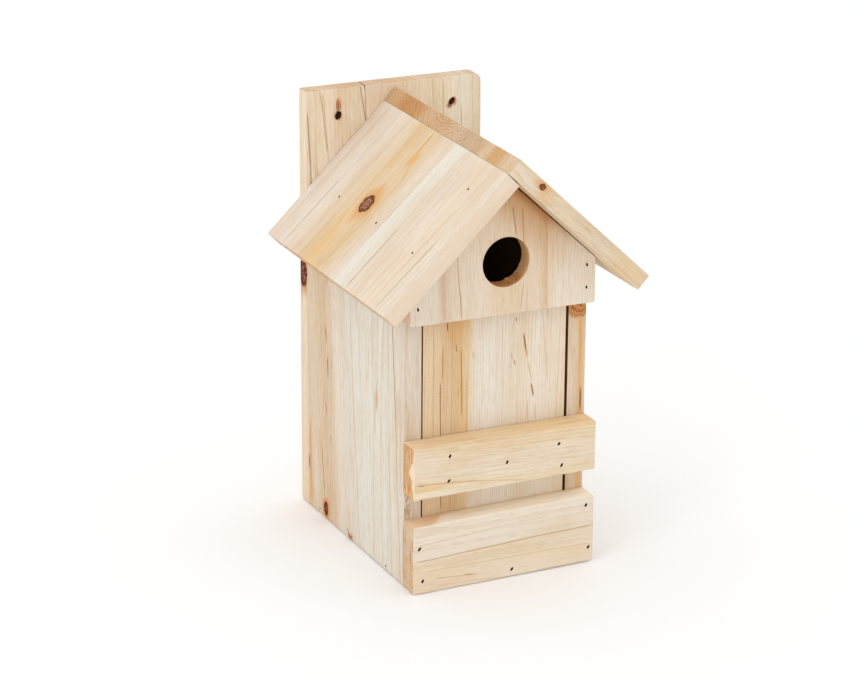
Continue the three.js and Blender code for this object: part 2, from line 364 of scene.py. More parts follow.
    def knot(self, centre, size, core, halo, tail=2.4, plane=None, within=1, bark=0.9):
        """A knot with a dark bark rim, its own rings and a resin halo that trails along the grain.

        It lies round centre = (across, along), or (plane, along) on a face that `across` doesn't run over.
        """
        one = self.across if plane is None else plane
        wobble = self.noise((0.5, 0.5, 0.5), detail=2) - 0.5
        aside = (one - centre[0]) / size[0]
        away = (self.along - centre[1]) / size[1]
        spread = hypotenuse(aside, away) + wobble * 0.55
        trail = away / tail
        drawn_out = self.noise((0.45, 0.45, 0.04), detail=2) - 0.5
        around = math_node(self.tree, "SQRT", aside * aside * 0.36 + trail * trail) + drawn_out * 1.5
        growth = tooth(spread * 2.6, 0.3, 0.9, 0.92)
        inside = smooth(spread, 1.06, 0.94) * within
        rim = smooth(spread, 0.62, 0.98) * smooth(spread, 1.16, 1) * within
        self.paint(halo, smooth(around, 1.5, 0.5) * within * 0.85)
        shards = self.noise((0.7, 0.7, 0.4), detail=2, roughness=0.7)
        self.paint(core, inside * 0.92)
        self.shade((160, 102, 72), inside * growth * 0.85)
        self.paint((216, 170, 126), inside * smooth(shards, 0.55, 0.66) * 0.6)
        self.paint((58, 22, 8), inside * smooth(shards, 0.48, 0.38) * (0.85 * bark))
        self.paint((62, 26, 10), rim * smooth(shards, 0.25, 0.5) * bark)

    def paint_chamber_shade(self, node, inward, within=1):
        """Painted shade on the face that looks into the nest chamber, where little light gets in."""
        inner = reach(node, inward)
        face = smooth(self.facing(inward), 0.8, 0.95) * smooth(self.measure(inward), inner - 1, inner - 0.3)
        self.shade(PAINTED_CHAMBER_SHADE, face * within)

    def edge_lines(self, strength):
        """Fine brown lines on the front edge of an upright board."""
        lines = self.noise((0, 1.3, 0.02), detail=3, roughness=0.7)
        share = smooth(self.facing(Y), 0.7, 0.9) * smooth(lines, 0.5, 0.66)
        self.paint((204, 160, 122), share * strength)

    def dark_flank(self, node, inward):
        """Painted shade on the flank beside the door's gap, where next to no light gets in."""
        inner = reach(node, inward)
        flank = smooth(self.facing(X), 0.3, 0.6) * smooth(self.measure(inward), inner - 1.2, inner - 0.4)
        self.paint((112, 62, 24), flank * smooth(self.measure(Y), -50, -55) * 0.95)

    def build(self):
        grain_relief = self.fine * 0.45 - self.late * 0.35 - self.ducts * 0.5
        relief = grain_relief + self.ends * self.speckle * 1.4
        bump = add_node(self.tree, "ShaderNodeBump", {0: 0.5, 1: 0.00012, 3: relief})
        finish = remap(self.fine + self.late * 0.3, 0.3, 1, *ROUGHNESS)
        surface(self.tree, self.colour, finish, bump, specular=0.1)
        return self.material


# ---------------------------------------------------------------- meshes

SQUARE = ((-1, -1), (1, -1), (1, 1), (-1, 1))
ARC_STEPS = 4
EDGE_STEP = 5  # between points along a board's edges
LIP = 0.25  # flat strip that keeps the shading of an eased edge off the face
EASE_ANGLES = (0, 30, 60, 90)
SHARP_ANGLE = math.radians(40)


def wander(point, scale, seed):
    """Smooth noise from about -1 to 1 at a place in millimetres."""
    return noise.noise(point * scale + Vector((seed, 2 * seed, 3 * seed)))


def turn_normals(before, after):
    """Outward normals that turn from one edge's to the next one's."""
    start = math.atan2(before.y, before.x)
    turn = before.angle_signed(after) * -1
    steps = (start + turn * k / ARC_STEPS for k in range(ARC_STEPS + 1))
    return [Vector((math.cos(angle), math.sin(angle))) for angle in steps]


def rounded_outline(corners, radii):
    """(point, outward normal) round a convex outline with rounded corners, in its own plane."""
    count = len(corners)
    edges = [(corners[(i + 1) % count] - corners[i]).normalized() for i in range(count)]
    normals = [Vector((edge.y, -edge.x)) for edge in edges]
    centres = []
    for i, corner in enumerate(corners):
        before = normals[i - 1]
        after = normals[i]
        centres.append(corner - (before + after) * (radii[i] / (1 + before.dot(after))))
    outline = []
    for i, centre in enumerate(centres):
        after = normals[i]
        turn = turn_normals(normals[i - 1], after)
        outline += [(centre + normal * radii[i], normal) for normal in turn]
        ahead = (i + 1) % count
        start = centre + after * radii[i]
        end = centres[ahead] + after * radii[ahead]
        steps = max(2, round((end - start).length / EDGE_STEP))
        outline += [(start.lerp(end, k / steps), after) for k in range(1, steps)]
    return outline


def depth_layers(low, high, ease):
    """(depth, share of the ease taken off) from one face of a board to the other."""
    first = [(low, 1 + LIP / ease)]
    for angle in EASE_ANGLES:
        turn = math.radians(angle)
        first.append((low + ease * (1 - math.cos(turn)), 1 - math.sin(turn)))
    last = [(low + high - depth, share) for depth, share in reversed(first)]
    inside = high - low - 2 * ease
    steps = max(2, round(inside / EDGE_STEP))
    between = [(low + ease + inside * k / steps, 0) for k in range(1, steps)]
    return first + between + last


def bridge(work, rings, material_index=0):
    """Faces between closed rings of points, with a cap on each end."""
    made = [[work.verts.new(point * MM) for point in ring] for ring in rings]
    faces = []
    for one, two in zip(made, made[1:]):
        for k in range(len(one)):
            nxt = (k + 1) % len(one)
            faces.append(work.faces.new((one[k], one[nxt], two[nxt], two[k])))
    faces.append(work.faces.new(made[0]))
    faces.append(work.faces.new(made[-1]))
    for face in faces:
        face.material_index = material_index


def shape_board(work, node, plane, turns=SQUARE, radii=None, ease=0.55, ragged=0.16, seed=1, snug=0):
    """A board on its CAD node's outline, with unevenly eased edges.

    Its upper corners stand higher by snug, which closes the gap under the board above.
    """
    one, two = plane
    deep = one.cross(two)
    tips = [farthest(node, one * turn[0] + two * turn[1]) for turn in turns]
    corners = [Vector((tip.dot(one), tip.dot(two))) for tip in tips]
    for corner, turn in zip(corners, turns):
        corner.y += snug * max(turn[1], 0)
    outline = rounded_outline(corners, radii or [1.2] * len(corners))
    rings = []
    for depth, share in depth_layers(-reach(node, -deep), reach(node, deep), ease):
        ring = []
        for flat, normal in outline:
            place = one * flat.x + two * flat.y + deep * depth
            worn = ease * share * (1 + 0.75 * wander(place, 0.12, seed))
            rough = ragged * (0.6 * wander(place, 0.05, seed + 5) + 0.4 * wander(place, 0.5, seed + 9))
            shift = min(0, rough) - worn
            ring.append(place + (one * normal.x + two * normal.y) * shift)
        rings.append(ring)
    bridge(work, rings)


def oval_ring(centre, long_axis, short_axis, length, width, seed, ragged, count):
    ring = []
    for k in range(count):
        angle = 2 * math.pi * k / count
        offset = long_axis * (length * math.cos(angle)) + short_axis * (width * math.sin(angle))
        uneven = 1 + ragged * wander(centre + offset * 1.5, 1.3, seed)
        ring.append(centre + offset * uneven)
    return ring


def place_object(name, data):
    """An object in the scene."""
    made = bpy.data.objects.new(name, data)
    bpy.context.scene.collection.objects.link(made)
    return made


def new_object(name, work, materials):
    """Closes a bmesh into an object in the scene."""
    bmesh.ops.recalc_face_normals(work, faces=work.faces)
    mesh = bpy.data.meshes.new(name)
    work.to_mesh(mesh)
    work.free()
    for material in materials:
        mesh.materials.append(material)
    return place_object(name, mesh)


def finish_shading(piece):
    piece.data.shade_smooth()
    piece.data.set_sharp_from_angle(angle=SHARP_ANGLE)


def carve(piece, work, materials):
    """Cuts a bmesh's bodies, if it has any, out of a piece. The cut faces take the bmesh's materials."""
    if not work.verts:
        work.free()
        return
    tool = new_object("tool", work, materials)
    cut = piece.modifiers.new("cut", "BOOLEAN")
    cut.operation = "DIFFERENCE"
    cut.solver = "EXACT"
    cut.material_mode = "TRANSFER"
    cut.object = tool
    bpy.context.view_layer.update()
    graph = bpy.context.evaluated_depsgraph_get()
    carved = bpy.data.meshes.new_from_object(piece.evaluated_get(graph))
    piece.modifiers.clear()
    piece.data = carved
    bpy.data.objects.remove(tool)


# ---------------------------------------------------------------- brads and their holes

DEEPER = 0.35  # how much lower a head sits than its CAD node
HOLE_LENGTH = 1.1  # half length of the mark that the driver leaves
HOLE_WIDTH = 0.62
HOLE_LAYERS = ((-2.5, 1), (-0.15, 1.06), (0.35, 0.95), (1.1, 0.85), (1.7, 0.7))  # depth, size
HEAD_LENGTH = 0.72
HEAD_WIDTH = 0.4
SHANK = 0.36
BRAD_KINDS = {  # board, direction driven, face entered, size of the mark and its turn in degrees
    "brad_gable": ("gable_front", Y, -Y, 0.95, -15),
    "brad_handle": ("handle_slat", Y, -Y, 1.12, 35),
    "brad_lower_slat": ("lower_slat", Y, -Y, 1.12, 35),
    "brad_roof_left": ("roof_left", -Z, OUT_LEFT, 0.75, 35),
    "brad_roof_right": ("roof_right", -Z, OUT_RIGHT, 0.85, 35),
    "brad_ridge": ("roof_right", -OUT_RIGHT, OUT_RIGHT, 1, 35),
    "brad_floor_left": ("left_side", X, -X, 0.75, 35),
    "brad_floor_right": ("right_side", -X, X, 1, 35),
    "brad_back": ("back_board", -Y, Y, 1, 20),
}


class Brad:
    """Where one CAD brad goes in, in millimetres."""

    def __init__(self, node):
        self.node = node
        self.kind = node.rsplit("_", 1)[0]
        self.board, self.aim, outward, self.size, turn = BRAD_KINDS[self.kind]
        low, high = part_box(node)
        centre = (low + high) / (2 * MM)
        behind = reach(node, -self.aim)
        self.crown = centre + self.aim * (-behind - centre.dot(self.aim))
        self.length = reach(node, self.aim) + behind
        gap = reach(self.board, outward) - self.crown.dot(outward)
        self.entry = self.crown - self.aim * (gap / -self.aim.dot(outward))
        self.seed = sum(map(ord, node)) * 0.37
        upright = Y if abs(self.aim.z) > 0.5 else Z
        angle = math.radians(turn) + 0.4 * wander(self.entry, 0.9, self.seed)
        self.long_axis = Matrix.Rotation(angle, 3, self.aim) @ upright
        self.short_axis = self.aim.cross(self.long_axis)


def punch_hole(work, brad):
    """The slanted oval that the driver leaves over a brad's head."""
    rings = []
    for depth, share in HOLE_LAYERS:
        centre = brad.entry + brad.aim * depth
        length = HOLE_LENGTH * share * brad.size
        width = HOLE_WIDTH * share * brad.size
        rings.append(oval_ring(centre, brad.long_axis, brad.short_axis, length, width, brad.seed, 0.3, 14))
    # Material 1, the dark crushed wood, is partly painted shade inside the hole.
    bridge(work, rings, material_index=1)


def brad_ring(centre, brad, length, width):
    """A rectangle with cut corners."""
    inset = 0.72
    corners = ((1, inset), (inset, 1), (-inset, 1), (-1, inset), (-1, -inset), (-inset, -1), (inset, -1),
               (1, -inset))
    return [centre + brad.long_axis * (a * length) + brad.short_axis * (b * width) for a, b in corners]


def make_brad(brad):
    """A collated brad: a small oblong head, a square shank and a chisel point."""
    profile = (
        (0, HEAD_LENGTH * 0.8, HEAD_WIDTH * 0.75),
        (0.1, HEAD_LENGTH, HEAD_WIDTH),
        (0.45, HEAD_LENGTH, HEAD_WIDTH),
        (0.75, SHANK * 1.15, SHANK),
        (brad.length * 0.5, SHANK, SHANK),
        (brad.length - 2.2 - DEEPER, SHANK, SHANK),
        (brad.length - DEEPER, SHANK * 0.25, SHANK * 0.8),
    )
    work = bmesh.new()
    rings = []
    for depth, length, width in profile:
        centre = brad.crown + brad.aim * (DEEPER + depth)
        rings.append(brad_ring(centre, brad, length, width))
    bridge(work, rings)
    piece = new_object(brad.node + "_driven", work, [steel])
    finish_shading(piece)
    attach(piece, "door" if brad.kind == "brad_handle" else "house")
    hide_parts(brad.node)


def make_steel():
    """Dull bright wire, with the brown film of the glue that holds a strip of brads together."""
    material = empty_material("brad_wire")
    tree = material.node_tree
    point = object_point(tree)
    film = grain_noise(point, (900, 900, 900), detail=3)
    drawn = grain_noise(point, (4000, 4000, 400), detail=1)
    colour = mix(srgb(84, 78, 72), srgb(50, 36, 26), smooth(film, 0.42, 0.6))
    rough = remap(film + drawn * 0.4, 0.3, 0.9, 0.32, 0.7)
    bump = add_node(tree, "ShaderNodeBump", {0: 0.4, 1: 0.00003, 3: drawn})
    surface(tree, colour, rough, bump, metallic=0.9)
    return material


def make_shaded_crushed_wood():
    """Wood that a driver has crushed and scorched, inside the brad holes; its near-black tone is also
    painted shade for the inside of the brad holes and of the drying check.
    """
    material = empty_material("shaded_crushed_wood")
    tree = material.node_tree
    point = object_point(tree)
    char = grain_noise(point, (1800, 1800, 1800), detail=3, roughness=0.7)
    colour = mix(srgb(38, 22, 13), srgb(118, 76, 48), smooth(char, 0.45, 0.68))
    bump = add_node(tree, "ShaderNodeBump", {0: 0.7, 1: 0.0001, 3: char})
    rough = remap(char, 0.3, 0.7, 0.75, 0.95)
    surface(tree, colour, rough, bump, specular=0.1)
    return material


steel = make_steel()
shaded_crushed_wood = make_shaded_crushed_wood()
brads = [Brad(node) for node in sorted(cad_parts) if node.startswith("brad_")]
for each in brads:
    make_brad(each)


# ---------------------------------------------------------------- boards

def brad_holes(node):
    """The holes of all the brads that are driven into a board."""
    def cut(work):
        for brad in brads:
            if brad.board == node:
                punch_hole(work, brad)
    return cut


def make_board(node, slot, material, plane, cuts=(), body="house", **shape):
    """Shapes a board, cuts its holes, and puts it in its CAD node's place."""
    work = bmesh.new()
    shape_board(work, node, plane, **shape)
    piece = new_object(node + "_wood", work, [material])
    for cut in (*cuts, brad_holes(node)):
        tool = bmesh.new()
        cut(tool)
        carve(piece, tool, [material, shaded_crushed_wood])
    finish_shading(piece)
    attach(piece, body)
    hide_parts(node)


# Back board

HOLE_SPREAD = 35.7  # hanging holes, either side of the middle
HOLE_DROP = 16  # below the top edge
CHECK_X = -19.3  # a drying check in the top edge
CHECK_DEPTH = 8
CHECK_HALF_WIDTH = 0.36
DRILL_LAYERS = ((-2, 1.08), (-0.1, 1.08), (0.7, 0.98), (3, 0.94), (7, 0.94), (13, 0.96))  # depth, size
GROOVE_STEPS = 7
GROOVE_POINTS = 8


def hanging_hole(side, length, width, lean):
    """A hole drilled from behind, torn where the drill came out."""
    def cut(work):
        top = reach("back_board", Z)
        front = -reach("back_board", -Y)
        long_axis = Matrix.Rotation(lean, 3, "Y") @ Z
        short_axis = Y.cross(long_axis)
        rings = []
        for depth, share in DRILL_LAYERS:
            centre = Vector((side * HOLE_SPREAD, front + depth, top - HOLE_DROP))
            rings.append(oval_ring(centre, long_axis, short_axis, length * share, width * share, 3 + side,
                                   0.16, 28))
        bridge(work, rings)
    return cut


def torn_groove(x, low_z, high_z, width, depth, seed):
    """A shallow groove where fibres came away, deepest at its low end."""
    def cut(work):
        front = -reach("back_board", -Y)
        rings = []
        for k in range(GROOVE_STEPS + 1):
            share = k / GROOVE_STEPS
            z = low_z + (high_z - low_z) * share
            deep = depth * (1 - share) ** 0.7 + 0.03
            ring = [Vector((x + width * 0.5, front - 2, z)), Vector((x - width * 0.5, front - 2, z))]
            for m in range(GROOVE_POINTS + 1):
                part = m / GROOVE_POINTS
                aside = (part - 0.5) * width * (1 - 0.35 * share)
                hollow = deep * (1 - (2 * part - 1) ** 2)
                pluck = 0.35 * deep * wander(Vector((aside * 3, 0, z * 0.4)), 1, seed)
                ring.append(Vector((x + aside, front + max(hollow + pluck, 0) - 0.02, z)))
            rings.append(ring)
        bridge(work, rings)
    return cut


def drying_check(work):
    """A wedge that opens in the top edge."""
    top = reach("back_board", Z)
    front = -reach("back_board", -Y)
    back = reach("back_board", Y)
    rings = []
    for y in (front - 2, front + 0.5, front + 4, back - 2, back + 2):
        deep = CHECK_DEPTH * (1 - 0.06 * (y - front))
        ring = []
        levels = [top + 2, top, top - deep * 0.3, top - deep * 0.65, top - deep]
        for side, order in ((-1, levels), (1, reversed(levels))):
            for z in order:
                open_by = CHECK_HALF_WIDTH * max((z - top + deep) / deep, 0.14)
                lean = 0.5 * (top - z) / deep + 0.12 * wander(Vector((0, y, z)), 0.4, 2)
                ring.append(Vector((CHECK_X + lean + side * open_by, y, z)))
        rings.append(ring)
    # The walls take the dark crushed wood: painted shade inside the crack.
    bridge(work, rings, material_index=1)


def stain_and_shade_hanging_holes(wood):
    """Brown stains round the hanging holes, painted shade that darkens their walls, most in the left one,
    and torn fibres over the left one.
    """
    wood.patch((-35.4, 240.3), (2.6, 4.6), (206, 138, 84), 0.9, ragged=1.2)
    wood.patch((-35.7, 234), (3.6, 4), (168, 108, 66), 0.7, ragged=1)
    wood.patch((36, 233.8), (3.4, 3.6), (176, 106, 60), 0.85, ragged=1.2)
    wood.patch((34.2, 231.6), (2.6, 2.6), (150, 84, 44), 0.85, ragged=1)
    bored = smooth(wood.facing(Y), 0.6, 0.3)
    in_hole = bored * smooth(abs(abs(wood.across) - HOLE_SPREAD), 4, 3.4)
    hole_level = reach("back_board", Z) - HOLE_DROP
    in_hole = in_hole * smooth(abs(wood.along - hole_level), 8, 7)
    # Painted shade on the walls of the holes, darker in the left hole than in the right.
    wood.paint((70, 36, 20), in_hole * smooth(wood.across, 1, -1) * 0.95)
    wood.paint((120, 62, 32), in_hole * smooth(wood.across, -1, 1) * 0.9)
    wood.streaks(
        (-36.5, 244.5, -36.6, 235.5, 0.45, (112, 48, 28), 0.85, 2),
        (-35.2, 243, -35.3, 235.5, 0.4, (112, 48, 28), 0.8, 2),
        (-34.1, 241.5, -34.1, 236, 0.35, (112, 48, 28), 0.75, 2),
    )


def back_material():
    wood = Wood("pine_back", X, Z, lean=-0.02, middle=240)
    wood.bands([
        (-56, 224, 200, 170), (-46, 231, 210, 182), (-40, 232, 212, 188), (-35, 224, 198, 168),
        (-20, 221, 195, 165), (0, 223, 197, 166), (14, 229, 206, 178), (24, 227, 207, 176),
        (32, 229, 210, 182), (42, 230, 216, 194), (50, 224, 204, 176), (56, 218, 196, 168),
    ], tone=(1.06, 1.14, 1.24))
    wood.rings(pith=(-95, -40), spacing=2.3, strength=0.32, swerves=((-54, 141, 9, 22),))
    wood.fibres(1)
    wood.streaks(
        (-54.6, 240, -51.8, 190, 0.7, UMBER, 0.6),
        (-46.5, 250, -42, 212, 0.8, (196, 150, 84), 0.6),
        (-45.2, 250, -41, 205, 0.45, (150, 104, 62), 0.4),
        (-22.3, 250, -18.6, 228, 0.5, UMBER, 0.55, 2),
        (-19.3, 248, -18.3, 222, 0.5, UMBER, 0.5),
    )
    wood.patch((CHECK_X, 247), (1.6, 6), (242, 228, 206), 0.7, ragged=0.2)
    wood.streaks(
        (30.2, 249, 30.6, 222, 0.6, (206, 146, 84), 0.5),
        (23.4, 250, 24, 230, 0.6, (204, 158, 104), 0.4),
        (41.2, 233, 42.6, 214, 0.5, (150, 104, 66), 0.5),
        (-39, 90, -38, 30, 0.7, (170, 120, 76), 0.35),
        (12, 120, 14, 20, 0.8, (186, 138, 90), 0.35),
    )
    stain_and_shade_hanging_holes(wood)
    at_edge = smooth(wood.across, -49, -54)
    wood.knot((78.5, 141.5), (4.6, 8), (112, 48, 20), (190, 124, 72), tail=1.5,
              plane=wood.measure(Y), within=at_edge)
    wood.end_grain(0.35)
    under_roof = smooth(abs(wood.across) * math.tan(ROOF_PITCH) + wood.along, 238, 236)
    in_box = under_roof * smooth(abs(wood.across), 45.5, 44.5)
    # Painted shade on the back board's face inside the chamber, below the roof.
    wood.paint_chamber_shade("back_board", -Y, in_box)
    return wood.build()


make_board(
    "back_board", "back_wood", back_material(), (X, Z), radii=(1, 1, 4.5, 1.1), seed=2,
    cuts=(
        hanging_hole(-1, 2.45, 1.8, 0.3),
        hanging_hole(1, 2.3, 1.6, 0.7),
        torn_groove(-35.4, 236, 243.6, 3.4, 0.75, 4),
        torn_groove(34.4, 231.2, 234.5, 2.4, 0.9, 8),
        drying_check,
    ),
)


# Sides and floor

def left_side_material():
    wood = Wood("pine_left_side", -Y, Z, lean=-0.067, middle=75)
    wood.bands([
        (-76, 219, 198, 172), (-66, 220, 197, 170), (-56, 219, 196, 167), (-50, 216, 189, 156),
        (-45, 219, 192, 162), (-38, 219, 194, 166), (-34, 224, 206, 184), (-30, 228, 213, 194),
        (-18, 224, 211, 195), (-6, 226, 216, 200), (10, 227, 218, 203), (34, 227, 218, 203),
        (46, 226, 213, 196), (58, 222, 207, 188),
    ], tone=(0.97, 1.01, 1.06))
    wood.rings(pith=(30, 92), spacing=2.6, strength=0.3,
               swerves=((-48.5, 6.5, 6, 16), (-15, 3, 4, 10)))
    wood.fibres(1)
    wood.streaks(
        (-51, 150, -46.5, 92, 1.6, (206, 168, 122), 0.55, 20),
        (-48.2, 121, -45.8, 108, 0.9, (146, 102, 64), 0.8),
        (-45, 103, -44.4, 86, 0.8, (118, 74, 44), 0.9),
        (-39.2, 103, -38.8, 95, 0.7, (150, 108, 70), 0.7),
        (-48.2, 75, -46.4, 63, 1, (164, 112, 68), 0.8),
        (-41.2, 56, -40.8, 48, 0.5, (150, 104, 62), 0.7, 2.5),
    )
    wood.patch((-71.5, 12), (3.6, 22), (222, 176, 122), 0.85)
    wood.patch((-62, 20), (4.5, 26), (222, 204, 184), 0.7)
    wood.streaks(
        (-70.6, 60, -68, -2, 1.1, (206, 140, 86), 0.9, 12),
        (-71.6, 34, -71, 21, 1.2, (150, 92, 50), 0.9),
        (-56.2, 60, -54, -2, 0.8, (222, 170, 122), 0.6),
        (-14.2, 149, -11, 108, 0.7, (196, 160, 134), 0.6),
        (-11.2, 110, -5.2, 45, 0.7, (192, 164, 136), 0.6),
        (-5.2, 50, -1.4, 0, 0.6, (198, 174, 148), 0.55),
        (11.6, 127, 9.8, 103, 0.7, (196, 178, 158), 0.65),
    )
    wood.patch((21.5, 98.5), (3.4, 7.5), (206, 168, 134), 0.7)
    wood.streaks(
        (22.6, 112, 20.4, 90, 0.9, (200, 158, 122), 0.6),
        (18.8, 96, 17.4, 56, 0.7, (198, 170, 142), 0.6),
        (17.4, 60, 17.8, 0, 0.6, (184, 162, 138), 0.6),
        (25.4, 95, 31.4, 62, 0.8, (206, 180, 154), 0.5),
        (32.8, 108, 34.2, 92, 0.8, (220, 188, 158), 0.6),
        (37, 78, 39.8, 40, 0.6, (190, 160, 132), 0.65),
        (39.8, 46, 41.8, 0, 0.5, (190, 162, 136), 0.6),
        (41.6, 150, 46.4, 94, 0.75, (150, 122, 98), 0.8, 3),
        (46.2, 100, 49.2, 46, 0.65, (168, 138, 112), 0.75),
        (49, 52, 52.6, 0, 0.55, (170, 142, 116), 0.65, 3),
        (-18.6, 26, -13.6, 0, 2, (218, 180, 146), 0.7, 10),
    )
    wood.patch((-14, 1), (4.2, 5), (200, 136, 74), 0.9, ragged=1)
    wood.streaks(
        (-18.6, 6.2, -15.6, 1.6, 0.7, (50, 30, 18), 0.95, 0.8),
        (-16.2, 3.4, -12.4, -1.6, 0.8, (92, 54, 24), 0.95, 0.8),
        (-10.8, 4.2, -14.4, 1, 0.6, (70, 44, 26), 0.9, 0.8),
    )
    wood.patch((-46.5, 5.5), (7, 9), (222, 184, 122), 0.85, ragged=0.9)
    wood.streak(-54.2, 50, -49.6, 9, 0.75, (140, 100, 62), 0.75, 12)
    wood.knot((-48.2, 6.4), (2.6, 4), (104, 36, 10), (196, 116, 56), tail=1.6)
    beside_slats = smooth(wood.facing(Y), 0.7, 0.9) * smooth(wood.measure(X), -50.5, -53)
    crushed = wood.noise((0.6, 0.6, 0.3), detail=3, roughness=0.7)
    rough = smooth(crushed, 0.36, 0.56) * smooth(abs(wood.along - 48), 10, 6)
    wood.paint((176, 140, 112), beside_slats * rough * 0.85)
    wood.end_grain(0.45)
    wood.edge_lines(0.6)
    # Painted shade on the face inside the chamber.
    wood.paint_chamber_shade("left_side", X)
    wood.dark_flank("left_side", X)
    return wood.build()


def stripe_front_edge(wood):
    """The right side's front edge: a warm stripe with a dark thread in it, and a knot at its top."""
    rightward = wood.measure(X)
    at_front = smooth(wood.across, 44, 55)
    wander_line = (wood.noise((0, 0, 0.05)) - 0.5) * 2.4
    stripe = smooth(abs(rightward - 52.4), 3, 0.6) * at_front
    wood.paint((216, 172, 112), stripe * 0.75)
    thread = smooth(abs(rightward - 52 + wander_line), 0.7, 0.2) * at_front
    wood.paint((196, 142, 84), thread * smooth(wood.along, 88, 150) * 0.7)
    dark = smooth(abs(rightward - 52.9), 0.9, 0.2) * smooth(abs(wood.along - 94), 9, 3) * at_front
    wood.paint((124, 70, 30), dark * 0.85)
    wood.knot((51.4, 152.5), (8.6, 9.6), (208, 142, 82), (216, 172, 122), tail=1.3, plane=rightward,
              within=at_front, bark=0.15)


def right_side_material():
    wood = Wood("pine_right_side", -Y, Z, lean=0.02, middle=75)
    wood.bands([
        (-76, 224, 206, 180), (-50, 228, 212, 190), (-30, 222, 198, 166), (-16, 226, 208, 184),
        (6, 230, 216, 196), (26, 222, 200, 170), (40, 226, 208, 182), (58, 220, 198, 170),
    ], tone=(1, 1.04, 1.1))
    wood.rings(pith=(-10, -70), spacing=2.4, strength=0.28,
               swerves=((24, 60, 8, 20), (57, 149, 8, 14)))
    wood.fibres(1)
    wood.streaks(
        (-40, 170, -36, 20, 0.8, (186, 146, 106), 0.5),
        (-8, 150, -6, 0, 0.6, (192, 158, 124), 0.5),
        (10, 120, 12, 90, 0.7, (160, 118, 80), 0.6),
        (44, 140, 46, 10, 0.7, (184, 150, 116), 0.5),
    )
    wood.knot((24, 60), (4.2, 5.2), (120, 68, 42), (208, 150, 92), tail=2.2)
    stripe_front_edge(wood)
    wood.end_grain(0.6)
    # Painted shade on the face inside the chamber.
    wood.paint_chamber_shade("right_side", -X)
    wood.dark_flank("right_side", -X)
    return wood.build()


def floor_material():
    wood = Wood("pine_floor", X, Y, lean=0.03)
    wood.bands([(-50, 222, 200, 170), (-20, 228, 210, 186), (12, 224, 202, 172), (50, 230, 214, 192)])
    wood.rings(pith=(14, 60), spacing=2.5, strength=0.5, swerves=((-18, 20, 7, 18),))
    wood.fibres(1.1)
    wood.streaks(
        (30, -57, 27, 73, 0.7, (182, 140, 98), 0.5),
        (-38, -57, -35, 40, 0.6, (186, 146, 106), 0.5),
    )
    wood.knot((-18, 20), (3.6, 4.6), (116, 66, 42), (214, 168, 118), tail=2.6)
    wood.end_grain(0.9)
    return wood.build()


LEFT_PROFILE = ((-1, -1), (1, -1), (1, 1), (-1, 0.5))
RIGHT_PROFILE = ((-1, -1), (1, -1), (1, 0.5), (-1, 1))

make_board("left_side", "side_wood", left_side_material(), (X, Z), turns=LEFT_PROFILE, ease=0.35, seed=3)
make_board("right_side", "side_wood", right_side_material(), (X, Z), turns=RIGHT_PROFILE, ease=0.3, seed=4)
make_board("floor_board", "side_wood", floor_material(), (X, Y), seed=5)


# Gable

GABLE_TURNS = ((-1, -1), (1, -1), (1, 0.5), (0, 1), (-1, 0.5))
ENTRANCE = Vector((0.5, 0, 184.5))
ENTRANCE_RADIUS = 14
ENTRANCE_POINTS = 120
FIBRES_AT = math.radians(-100)
FIBRE_LENGTH = 1.1


def entrance_hole(work):
    """A hole bored from the front, with fibres left standing low on its far rim."""
    front = -reach("gable_front", -Y)
    back = reach("gable_front", Y)
    thickness = back - front
    # depth, flare, share of the torn fibres
    layers = ((-2, 0.2, 0), (0, 0.25, 0), (0.35, 0, 0), (3, 0, 0), (6, 0, 0),
              (thickness - 1, 0, 0), (thickness - 0.45, 0, 0.75), (thickness + 0.02, 0.1, 1),
              (thickness + 2, 0.3, 1))
    rings = []
    for depth, flare, torn in layers:
        ring = []
        for k in range(ENTRANCE_POINTS):
            angle = 2 * math.pi * k / ENTRANCE_POINTS
            around = Vector((math.cos(angle), 0, math.sin(angle)))
            low_side = max(0, math.cos(angle - FIBRES_AT))
            fibre = wander(around * 7, 1, 7) + 1.6 * wander(around * 40, 1, 3)
            radius = ENTRANCE_RADIUS + flare - torn * low_side * max(fibre, 0) * FIBRE_LENGTH
            radius += 0.07 * wander(around * 4, 1, 1)
            ring.append(ENTRANCE + Y * (front + depth) + around * radius)
        rings.append(ring)
    bridge(work, rings)


